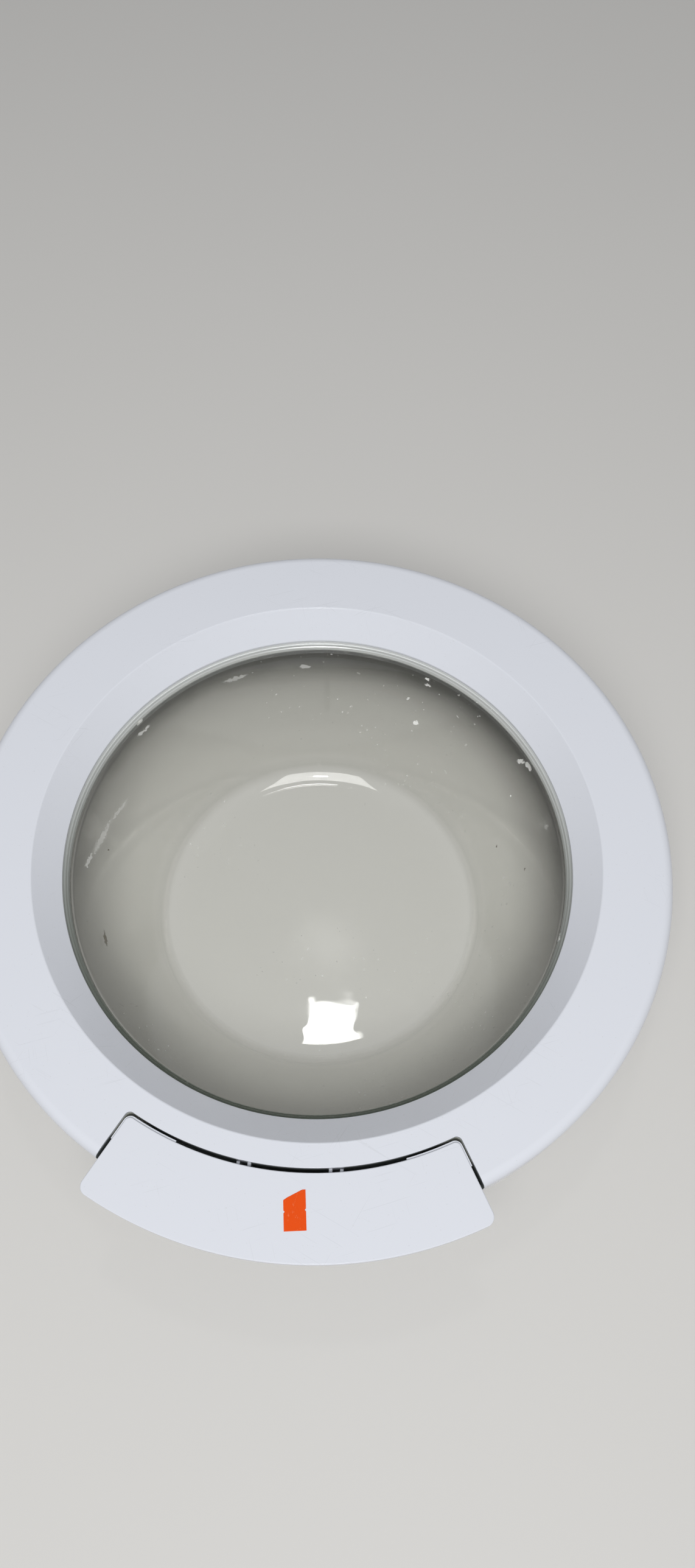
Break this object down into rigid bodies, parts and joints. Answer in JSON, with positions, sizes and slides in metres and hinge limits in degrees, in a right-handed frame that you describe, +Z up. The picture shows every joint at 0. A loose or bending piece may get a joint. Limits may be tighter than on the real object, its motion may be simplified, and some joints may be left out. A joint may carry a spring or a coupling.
{
  "type": "washing machine door",
  "caption": "Round front-loading washing machine door with a deep clear glass bowl, a white ring, a flush grip handle with a latch hook, and a swan-neck hinge.",
  "frame": {"origin": "centre of the glass bowl's flat foot, which the door lies on", "axes": "+Z up and out of the door's front, +Y from the handle to the hinge, +X to the right seen from the handle"},
  "size_m": [0.48, 0.5006, 0.1301],
  "materials": {
    "white_plastic": "glossy moulded white, lightly scratched",
    "clear_glass": "pressed clear glass with limescale marks",
    "steel": "bright zinc-plated",
    "cast_metal": "die-cast, satin grey",
    "bush_plastic": "matt dark grey moulded"
  },
  "bodies": {
    "door": {"front_frame": "white_plastic", "rear_frame": "white_plastic", "glass_bowl": "clear_glass", "frame_screws": "steel", "handle_axle": "steel", "handle_spring": "steel", "hinge_bush_left": "bush_plastic", "hinge_bush_right": "bush_plastic"},
    "handle": {"door_handle": "white_plastic"},
    "hook": {"latch_hook": "cast_metal"},
    "hinge": {"hinge_bracket": "cast_metal", "hinge_pin": "steel"}
  },
  "joints": [
    {"name": "handle_pull", "type": "hinge", "parent": "door", "child": "handle", "pos_m": [0, -0.2166, 0.12], "axis": [-1, 0, 0], "range_deg": [0, 12], "stiffness_Nm_per_rad": 1.2, "springref_deg": -14.32, "deforming": ["handle_spring"]},
    {"name": "hook_give", "type": "hinge", "parent": "handle", "child": "hook", "pos_m": [0, -0.2166, 0.12], "axis": [-1, 0, 0], "range_deg": [0, 8], "stiffness_Nm_per_rad": 0.8, "springref_deg": -14.32, "deforming": ["handle_spring"]},
    {"name": "hinge_swing", "type": "hinge", "parent": "door", "child": "hinge", "pos_m": [0, 0.224, 0.111], "axis": [1, 0, 0], "range_deg": [-64.85, 50.15]}
  ]
}
